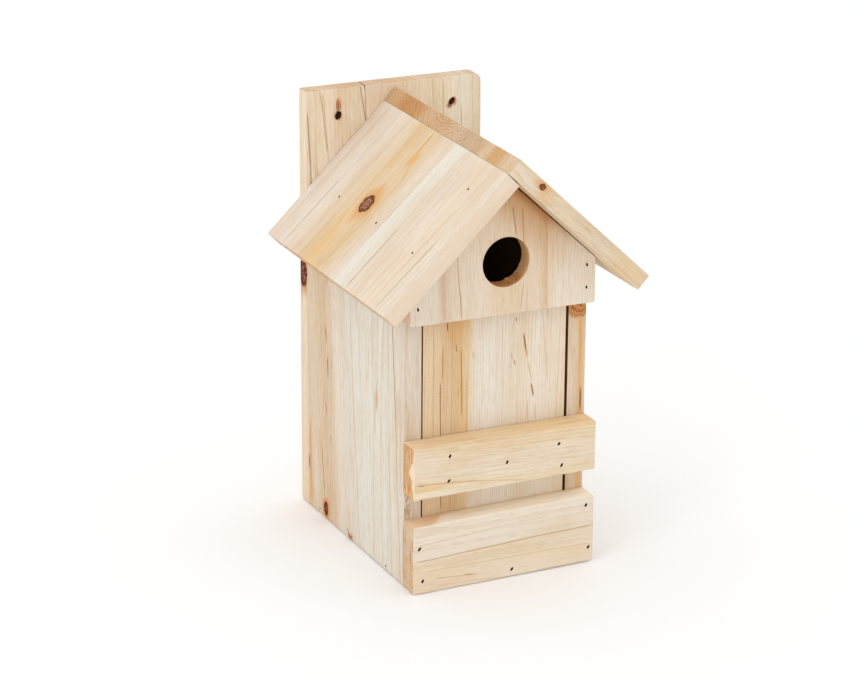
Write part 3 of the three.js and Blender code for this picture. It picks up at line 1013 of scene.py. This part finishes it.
def gable_material():
    wood = Wood("pine_gable", X, Z, lean=-0.045, middle=170)
    wood.bands([
        (-57, 228, 212, 192), (-46, 226, 213, 193), (-41, 226, 211, 190), (-37.5, 216, 190, 166),
        (-34, 221, 198, 173), (-30, 224, 204, 178), (-24, 227, 207, 184), (-14, 228, 208, 186),
        (-4, 227, 206, 180), (6, 226, 205, 179), (12, 223, 201, 174), (20, 227, 207, 184),
        (24.5, 221, 197, 168), (27, 229, 212, 190), (32, 232, 220, 203), (40, 229, 213, 194),
        (48, 230, 216, 198), (56, 228, 214, 198),
    ], tone=(1, 1.04, 1.07))
    wood.rings(pith=(70, 60), spacing=1.7, strength=0.22)
    wood.fibres(0.9)
    wood.streaks(
        (-29, 196, -27, 168, 0.6, (176, 134, 96), 0.5),
        (-27.2, 174, -25.4, 154, 0.65, (168, 124, 84), 0.7),
        (4, 218, 6.6, 197, 0.6, (178, 126, 84), 0.7),
        (9.6, 216, 11.4, 188, 0.7, (190, 142, 98), 0.65),
        (11.4, 172, 9.8, 154, 0.6, (190, 148, 106), 0.6),
        (14.2, 170, 13, 154, 0.5, (190, 150, 110), 0.5),
        (3.6, 174, 4.6, 160, 0.5, (196, 156, 116), 0.4),
        (25, 210, 25.8, 154, 0.8, (208, 160, 118), 0.55),
        (-37, 186, -36, 155, 1.8, (206, 172, 148), 0.5),
        (31.5, 200, 33, 172, 0.4, (196, 164, 132), 0.5),
    )
    wood.end_grain(0.6)
    left_end = smooth(wood.facing(X), 0.6, 0.85) * smooth(wood.across, -54, -56)
    wood.shade((242, 222, 210), left_end)
    # Painted shadow under the right roof board's overhang: warm, and deeper close to the roof and near the
    # apex.
    under_roof = reach("gable_front", OUT_RIGHT) - wood.measure(OUT_RIGHT)
    near_apex = smooth(wood.across, 52, 18)
    wood.shade(PAINTED_ROOF_SHADOW, smooth(under_roof, 26, 2) * near_apex)
    wood.shade((212, 174, 134), smooth(under_roof, 6.5, -1) * near_apex)
    # Painted shade: the sloping top edge goes dark brown, for the dark gap under the roof.
    wood.paint((128, 78, 38), smooth(wood.facing(OUT_RIGHT), 0.6, 0.85) * smooth(under_roof, 3, 0.6) * 0.9)
    from_middle = wood.point_distance(ENTRANCE)
    bored = smooth(wood.facing(Y), 0.6, 0.3) * smooth(from_middle, 15.4, 14.9)
    wood.shade((250, 220, 182), bored)
    return wood.build()


make_board(
    "gable_front", "gable_wood", gable_material(), (X, Z), turns=GABLE_TURNS,
    radii=(1.2, 1, 0.9, 0.9, 0.9), ease=0.3, seed=6, snug=0.45, cuts=(entrance_hole,),
)


# Roof

def roof_left_material():
    wood = Wood("pine_roof_left", -Y, -DOWN_LEFT, origin=roof_apex(), lean=0.045, middle=-50)
    wood.bands([
        (-76, 235, 220, 203), (-64, 232, 219, 202), (-50, 234, 221, 204), (-42, 233, 216, 194),
        (-37, 230, 209, 184), (-30, 232, 212, 184), (-25, 229, 204, 166), (-20, 227, 198, 155),
        (-15, 230, 204, 168), (-9, 229, 203, 165), (-3, 228, 199, 158), (2, 230, 206, 170),
        (8, 232, 212, 186), (15, 233, 216, 194), (21, 234, 226, 210), (28, 234, 225, 209),
        (33, 233, 219, 200), (45, 236, 220, 201), (58, 236, 218, 195), (70, 233, 216, 192),
        (78, 236, 223, 204), (84, 234, 219, 200),
    ], tone=(0.945, 0.96, 0.985))
    wood.rings(pith=(-10, -64), spacing=3.1, strength=0.16,
               swerves=((-9.5, -55.5, 9, 20), (-4, -18, 4, 12)))
    wood.fibres(0.9)
    grey = (206, 186, 162)
    wood.streaks(
        (-62, 0, -66, -100, 1.4, grey, 0.4),
        (-48.2, 0, -50.4, -60, 0.8, (204, 186, 164), 0.6),
        (-50.2, -52, -52.4, -101, 0.9, (188, 172, 150), 0.75),
        (-35.2, 0, -36.4, -101, 1.1, grey, 0.5),
        (-21.6, -8, -21.6, -60, 1.2, (214, 176, 126), 0.55),
        (-21.4, -60, -17.4, -101, 2.2, (222, 180, 120), 0.6),
        (-19.6, -66, -16, -88, 0.7, (204, 158, 100), 0.5),
    )
    wood.patch((-16, -90), (8, 20), (226, 188, 130), 0.55)
    wood.streaks(
        (-5.2, 0, -5.4, -22, 1.6, (222, 176, 116), 0.6, 8),
        (-5.3, 1, -5.5, -20, 0.5, (176, 130, 82), 0.6),
    )
    wood.patch((-3.4, -20.5), (4.6, 7.5), (224, 172, 108), 0.85)
    wood.streaks(
        (-5.6, -20, -5.4, -29, 0.7, (190, 142, 96), 0.6),
        (-1.6, -22, 2.4, -36, 1, (214, 164, 104), 0.65),
        (2.4, -30, 2.2, -58, 0.8, (206, 174, 132), 0.6),
        (2, -56, -3.6, -101, 0.9, (202, 168, 124), 0.6),
        (19.6, 1, 16.2, -72, 0.9, (204, 188, 160), 0.65),
        (16.4, -60, 14.4, -101, 0.6, grey, 0.4),
        (35.4, 1, 33.4, -60, 0.9, grey, 0.55),
        (33.6, -55, 32.4, -101, 0.8, (176, 158, 134), 0.75),
        (46.4, -10, 43.6, -101, 0.9, (206, 188, 162), 0.6),
        (54.6, -64, 51.6, -101, 0.8, grey, 0.55),
        (70.4, 1, 64.4, -78, 0.9, (210, 188, 156), 0.65),
        (73, -50, 70.2, -101, 1.1, (192, 172, 146), 0.7),
        (82.2, -40, 79.4, -101, 0.9, grey, 0.5),
        (40, 0, 38.2, -101, 0.6, (214, 192, 158), 0.5),
        (59.6, 0, 57.4, -101, 0.7, (218, 192, 150), 0.55),
        (66.8, -30, 62.6, -101, 1, (222, 192, 146), 0.55),
        (77, -60, 75.2, -101, 0.7, (212, 184, 142), 0.55),
    )
    wood.patch((-8.8, -47.5), (5.4, 9), (224, 164, 98), 0.6, ragged=0.8)
    wood.patch((-11.4, -63.5), (7, 10), (224, 176, 118), 0.65, ragged=0.8)
    wood.knot((-9.6, -55.6), (5, 5.6), (162, 110, 84), (214, 160, 98), tail=1.7)
    front_face = smooth(wood.facing(Y), 0.7, 0.9) * smooth(wood.across, 80, 82.5)
    wood.paint((228, 202, 172), front_face * 0.4)
    wood.end_grain(0.6)
    return wood.build()


def saw_roof_edge(wood):
    """The front edge of the right roof board: warmer wood, a small knot and slanted saw marks."""
    at_front = smooth(wood.across, 74, 82)
    outward = wood.measure(OUT_RIGHT)
    wood.patch((84, -87), (16, 17), (220, 186, 138), 0.5)
    wood.paint((220, 172, 114), at_front * smooth(abs(wood.along + 16), 9, 1) * 0.4)
    wood.knot((7, -11.4), (1.8, 2.1), (126, 66, 54), (216, 168, 112), tail=2.2, plane=outward,
              within=at_front, bark=0.4)
    wobble = wood.noise((0.2, 0.2, 0.2), detail=1) * 0.9
    ridges = tooth((wood.along + outward * 0.9) / 2.1 + wobble, 0.2, 0.9, 0.9)
    sawn = smooth(abs(wood.along + 62), 30, 10) * at_front
    wood.shade(FIBRE_SHADE, ridges * sawn * 0.45)


def bend_lap_grain(wood):
    """The upper end of the right roof board, at the ridge: bent grain in pale and warm stretches."""
    lap = smooth(wood.along, 0, 6) * wood.ends
    curl = wood.noise((0.3, 0.9, 0.3), detail=3, roughness=0.7)
    bend = wood.noise((0.16, 0.16, 0.16), detail=2) * 5
    ripples = tooth(wood.across / 1.5 + wood.deep * 0.12 + bend, 0.3, 0.8, 0.85)
    rippled = ripples * smooth(abs(wood.across - 2), 34, 16)
    wood.shade((214, 180, 136), rippled * lap * 0.6)
    wood.shade((238, 232, 222), smooth(abs(wood.across - 33), 16, 8) * lap)
    wood.paint((252, 242, 226), lap * 0.13)
    wood.shade((238, 216, 184), smooth(wood.across, 24, -14) * lap * 0.55)
    wood.shade((240, 208, 164), smooth(abs(wood.across + 44), 22, 4) * lap * 0.75)
    wood.shade((242, 214, 162), smooth(abs(wood.across - 61), 11, 3) * lap * 0.7)
    wood.shade((220, 192, 158), smooth(curl, 0.52, 0.7) * lap * 0.6)


def roof_right_material():
    wood = Wood("pine_roof_right", -Y, -DOWN_RIGHT, origin=roof_apex(), lean=0.02, middle=-50)
    wood.bands([
        (-76, 226, 206, 176), (-60, 222, 194, 154), (-40, 224, 200, 168), (-22, 230, 212, 186),
        (-4, 226, 204, 170), (14, 230, 214, 192), (34, 224, 202, 170), (52, 230, 210, 184),
        (66, 226, 202, 168), (76, 228, 208, 182), (84, 226, 206, 180),
    ], tone=(0.99, 1.04, 1.08))
    wood.rings(pith=(-6, -26), spacing=2.2, strength=0.28,
               swerves=((-42, -62, 8, 20), (80, -11, 7, 14)))
    wood.fibres(1.1)
    wood.streaks(
        (-62, 8, -60, -101, 0.9, (198, 148, 96), 0.5),
        (-30, 8, -27, -101, 0.8, (192, 148, 104), 0.45),
        (12, 8, 10, -101, 0.7, (188, 150, 110), 0.45),
        (46, 8, 45, -101, 0.8, (200, 158, 112), 0.45),
    )
    wood.knot((-42, -62), (4.6, 5.4), (128, 74, 48), (210, 152, 94), tail=2)
    saw_roof_edge(wood)
    wood.end_grain(0.5)
    bend_lap_grain(wood)
    return wood.build()


make_board("roof_left", "roof_wood", roof_left_material(), (Y, -DOWN_LEFT), seed=7, ease=0.26, ragged=0.06,
           snug=0.27)
make_board("roof_right", "roof_wood", roof_right_material(), (Y, DOWN_RIGHT), seed=8, ease=0.3,
           radii=(0.5, 0.5, 0.5, 0.5))


# Door and slats

def door_material():
    wood = Wood("pine_door", X, Z, lean=0.02, middle=120)
    wood.bands([
        (-46, 229, 200, 162), (-38, 226, 198, 161), (-30, 223, 192, 154), (-22, 223, 189, 146),
        (-16.5, 227, 200, 160), (-14.5, 230, 211, 184), (-12.5, 232, 218, 200), (-4, 234, 222, 205),
        (5, 232, 219, 202), (11, 232, 217, 194), (18, 233, 216, 193), (24, 235, 221, 203),
        (32, 233, 216, 195), (40, 231, 212, 188), (46, 226, 204, 174),
    ], tone=(0.99, 1.035, 1.08))
    wood.rings(pith=(120, 20), spacing=1.45, strength=0.42)
    wood.fibres(0.8)
    wood.saw_marks(-0.06, 0.3, smooth(wood.across, -10, -18))
    wood.patch((-24, 152), (9, 18), (214, 162, 98), 0.55)
    wood.streaks(
        (-24, 150, -18.6, 84, 2.4, (220, 180, 126), 0.35),
        (-29.6, 152, -29.4, 145.5, 0.6, (132, 66, 34), 0.85, 2),
        (-32.2, 140, -32.4, 116, 0.6, (168, 112, 64), 0.6),
        (-33.6, 119, -32.6, 40, 0.5, (136, 86, 50), 0.75),
        (-24.2, 138.5, -24, 132.5, 0.5, (154, 96, 50), 0.7, 2),
        (-21.2, 137, -20.2, 94, 0.55, (160, 98, 48), 0.75),
        (-23, 113, -22.6, 106, 0.5, (170, 116, 66), 0.5),
        (-38, 150, -37.6, 60, 0.4, (190, 142, 96), 0.45),
        (-26.6, 150, -27, 40, 0.4, (186, 134, 84), 0.45),
        (-17.6, 120, -17.2, 84, 0.5, (190, 140, 88), 0.45),
        (-14, 133, -13.4, 127, 0.55, (176, 136, 100), 0.6, 2),
        (12.2, 148.5, 12.8, 145, 0.5, (130, 86, 54), 0.7, 1.2),
        (10, 128.5, 10.6, 123, 0.6, (190, 130, 74), 0.8, 2),
        (11.7, 124, 12.6, 119.5, 0.55, (176, 112, 58), 0.8, 2),
        (17, 139.5, 19.2, 126, 0.75, (126, 82, 50), 0.85, 4),
        (18.8, 130, 19.8, 122.5, 0.8, (214, 150, 92), 0.8, 2.5),
        (19.6, 124, 22.6, 108, 0.55, (198, 156, 114), 0.6),
        (22, 109, 23.8, 99, 0.75, (150, 98, 54), 0.85, 3),
        (28.4, 150, 32.4, 106, 0.7, (214, 184, 146), 0.5),
        (20, 100, 20.2, 84, 0.45, (178, 132, 90), 0.55),
        (24.6, 98, 25.2, 84, 0.45, (178, 132, 90), 0.5),
        (4, 148, 4.8, 100, 0.4, (204, 176, 144), 0.5),
    )
    wood.end_grain(0.8)
    wood.dark_flank("door_panel", X)
    wood.dark_flank("door_panel", -X)
    return wood.build()


def colour_chipped_end(wood):
    """The handle's left end: sawn and warm, pale where the splinter has come off, with a painted shade line
    at its back edge.
    """
    left = -reach("handle_slat", -X)
    sawn_end = smooth(wood.along, left + 0.35, left + 0.1) * wood.ends
    torn_end = smooth(wood.along, left + 0.1, left + 0.35) * smooth(wood.along, -50, -53) * wood.ends
    wood.shade((236, 206, 170), sawn_end * 0.9)
    pale_line = wood.noise((0.08, 0.9, 0.3), detail=2)
    wood.paint((232, 196, 152), sawn_end * smooth(pale_line, 0.5, 0.62) * 0.7)
    wood.paint((240, 220, 190), torn_end * 0.85)
    # Painted shade: a dark brown line along the back edge of the end, for the gap behind the handle.
    wood.paint((122, 82, 50), sawn_end * smooth(wood.measure(Y), -58.4, -57.6) * 0.8)


def handle_material():
    wood = Wood("pine_handle", Z, X, lean=-0.05)
    wood.bands([
        (55, 232, 214, 188), (59, 232, 212, 180), (62, 231, 211, 180), (65, 234, 216, 192),
        (69, 232, 214, 188), (75, 232, 212, 186), (79, 231, 209, 178), (83, 231, 206, 170),
        (88, 230, 202, 160),
    ], tone=(0.99, 1.035, 1.085))
    wood.rings(pith=(150, 24), spacing=1.5, strength=0.26)
    wood.fibres(0.85)
    wood.streaks(
        (65.2, -57, 61.4, -14, 0.7, (196, 146, 92), 0.6),
        (61.8, -20, 56.6, 16, 0.6, (204, 166, 120), 0.5),
    )
    wood.patch((61.8, -50), (1.8, 20), (226, 190, 136), 0.75)
    wood.patch((58.4, -48), (1.6, 18), (238, 222, 198), 0.6)
    wood.streaks(
        (64.2, -53.5, 63.8, -48.5, 0.4, (146, 88, 56), 0.7, 1.8),
        (83, -56, 77, 40, 0.4, (212, 176, 128), 0.45),
        (72, -40, 68, 50, 0.35, (212, 182, 140), 0.4),
    )
    top = smooth(wood.along, -8, 58) * -3.2 + 86.4
    wood.paint((228, 194, 146), smooth(wood.across - top, -0.5, 0.6) * 0.6)
    crown = smooth(wood.facing(Z), 0.5, 0.8)
    lines = wood.noise((0.5, 0.9, 0.03), detail=3, roughness=0.7)
    wood.paint((244, 219, 180), crown * 0.5)
    wood.paint((206, 156, 98), crown * smooth(lines, 0.52, 0.66) * 0.55)
    wood.end_grain(0.3, contrast=0.7)
    colour_chipped_end(wood)
    return wood.build()


def colour_slat_top(wood):
    """The lower slat's upper face: painted pale, as light that makes up for the shade under the handle
    slat, and warmer at its left end up to a slanted, uneven border.
    """
    crown = smooth(wood.facing(Z), 0.5, 0.8)
    # Painted light: the whole upper face is lightened, against the shade under the handle slat.
    wood.paint((252, 240, 220), crown * 0.75)
    curl = wood.noise((0.3, 0.25, 0.08), detail=2) * 6
    slanted = wood.along - wood.measure(Y) * 0.9 + curl
    wood.paint((224, 186, 142), crown * smooth(slanted, 25, 20) * 0.8)
    wood.paint((228, 198, 160), crown * smooth(wood.measure(Y), -61, -58) * 0.35)
    lines = wood.noise((0.5, 0.9, 0.03), detail=3, roughness=0.7)
    wood.paint((206, 168, 126), crown * smooth(lines, 0.55, 0.68) * 0.4)


def lower_slat_material():
    wood = Wood("pine_lower_slat", Z, X, lean=0.028)
    wood.bands([
        (-1, 232, 212, 188), (4, 232, 212, 186), (9, 231, 209, 180), (14, 230, 209, 181),
        (20, 228, 209, 181), (22.5, 230, 214, 192), (28, 230, 215, 194), (34, 232, 217, 196),
        (41, 233, 218, 196),
    ], tone=(1, 1.04, 1.09))
    wood.rings(pith=(12, 112), spacing=2, strength=0.26, swerves=((6.5, -22, 4, 10),))
    wood.fibres(0.85)
    wood.streaks(
        (19.2, -56, 20.9, 6, 0.5, (176, 142, 104), 0.75),
        (20.8, 0, 22.4, 56, 0.5, (176, 144, 108), 0.75),
        (28, -56, 31.4, -8, 0.6, (206, 178, 144), 0.5),
        (31.2, -14, 32.6, 30, 0.6, (208, 182, 150), 0.45),
        (12.6, -50, 11.6, 56, 0.5, (204, 170, 130), 0.5),
        (7.6, -44, 5.8, -14, 0.6, (196, 150, 110), 0.5),
        (6.9, -25, 6.3, -18, 0.5, (186, 126, 86), 0.7, 2),
        (3.4, -44, 0.8, 0, 0.6, (214, 174, 134), 0.4),
    )
    colour_slat_top(wood)
    blotch = wood.noise((0.12, 0.3, 0.3), detail=3)
    at_end = smooth(wood.normal_along, 0.55, 0.8)
    wood.paint((206, 170, 130), at_end * smooth(blotch, 0.5, 0.66) * 0.6)
    wood.end_grain(0.45, contrast=0.8)
    at_back = at_end * smooth(wood.measure(Y), -58.2, -57.3)
    wood.paint((128, 92, 62), at_back * smooth(blotch, 0.4, 0.52) * 0.8)
    return wood.build()


# height, how far back along the end, how far along the face
CHIP_LEVELS = ((54, 1, 0.3), (58, 1.6, 0.4), (61, 2.4, 0.5), (63.4, 4.2, 0.6), (65.4, 3.4, 0.6),
               (67.6, 3.8, 0.6), (69.6, 7.6, 0.8), (72.4, 8, 0.8), (75, 5.6, 0.7), (78, 2.4, 0.5),
               (81.5, 1, 0.4), (92, 0.6, 0.3))


def chipped_end(work):
    """A splinter torn off the upright edge at the left end."""
    left = -reach("handle_slat", -X)
    front = -reach("handle_slat", -Y)
    rings = []
    for z, back, inward in CHIP_LEVELS:
        rough = 0.25 * wander(Vector((z, 0, 0)), 0.7, 6)
        outline = ((-2, -2), (-2, back + rough), (0, back + rough), (inward * 0.55, back * 0.4 - rough),
                   (inward, 0), (inward, -2))
        rings.append([Vector((left + x, front + y, z)) for x, y in outline])
    bridge(work, rings)


make_board("door_panel", "door_wood", door_material(), (X, Z), body="door", ease=0.22, ragged=0.1,
           seed=9)
make_board("handle_slat", "slat_wood", handle_material(), (X, Z), body="door", ease=0.5, seed=10,
           radii=(0.9, 0.8, 1, 0.9), cuts=(chipped_end,))
make_board("lower_slat", "slat_wood", lower_slat_material(), (X, Z), ease=0.5, seed=11,
           radii=(1.8, 0.9, 1.4, 1))


# ---------------------------------------------------------------- stage

CAMERA_PLACE = Vector((-0.76672, -1.55753, 0.75363))
CAMERA_AZIMUTH = math.radians(25.807)
CAMERA_ELEVATION = math.radians(20.128)
CAMERA_ROLL = math.radians(0.359)
CAMERA_LENS = 138.14
FLOOR_SIZE = 6
FLOOR_DROP = 0.3  # millimetres, which keeps it off the undersides of the boards
KEY_PLACE = Vector((-1.7, -0.9, 1.3))
KEY_TARGET = Vector((0, 0, 0.12))
KEY_SIZE = 1
KEY_WATTS = 5
SURROUNDINGS = 1.04


def make_camera():
    """Looks down at the nest box from the front left, with a slight roll."""
    level = math.cos(CAMERA_ELEVATION)
    back = Vector((
        -math.sin(CAMERA_AZIMUTH) * level,
        -math.cos(CAMERA_AZIMUTH) * level,
        math.sin(CAMERA_ELEVATION),
    ))
    flat = Vector((math.cos(CAMERA_AZIMUTH), -math.sin(CAMERA_AZIMUTH), 0))
    rolled = Matrix.Rotation(CAMERA_ROLL, 3, back) @ flat
    up = back.cross(rolled)
    camera = place_object("camera", bpy.data.cameras.new("camera"))
    camera.data.lens = CAMERA_LENS
    camera.data.sensor_width = 36
    turned = Matrix((rolled, up, back)).transposed().to_4x4()
    camera.matrix_world = Matrix.Translation(CAMERA_PLACE) @ turned
    bpy.context.scene.camera = camera


def make_floor():
    """A pale studio floor, a little under the nest box."""
    material = bpy.data.materials.new("studio_floor")
    material.use_nodes = True
    tree = material.node_tree
    principled = tree.nodes["Principled BSDF"]
    point = object_point(tree)
    paper = grain_noise(point, (3, 3, 3), detail=2)
    colour = mix((0.98, 0.98, 0.98, 1), (0.96, 0.96, 0.96, 1), smooth(paper, 0.3, 0.7))
    tree.links.new(colour.socket, principled.inputs["Base Color"])
    principled.inputs["Roughness"].default_value = 0.9
    half = FLOOR_SIZE / 2
    mesh = bpy.data.meshes.new("floor")
    mesh.from_pydata([(-half, -half, 0), (half, -half, 0), (half, half, 0), (-half, half, 0)], [],
                     [(0, 1, 2, 3)])
    mesh.materials.append(material)
    floor = place_object("floor", mesh)
    floor.location.z = -FLOOR_DROP * MM


def make_light():
    """White surroundings and a broad key light from the upper left."""
    scene = bpy.context.scene
    scene.view_settings.view_transform = "Standard"
    world = bpy.data.worlds.new("studio")
    world.use_nodes = True
    background = world.node_tree.nodes["Background"]
    background.inputs["Color"].default_value = (1, 1, 1, 1)
    background.inputs["Strength"].default_value = SURROUNDINGS
    scene.world = world
    light = bpy.data.lights.new("key", "AREA")
    light.shape = "DISK"
    light.size = KEY_SIZE
    light.energy = KEY_WATTS
    lamp = place_object("key", light)
    lamp.location = KEY_PLACE
    lamp.rotation_euler = (KEY_TARGET - KEY_PLACE).to_track_quat("-Z", "Y").to_euler()


make_camera()
make_floor()
make_light()
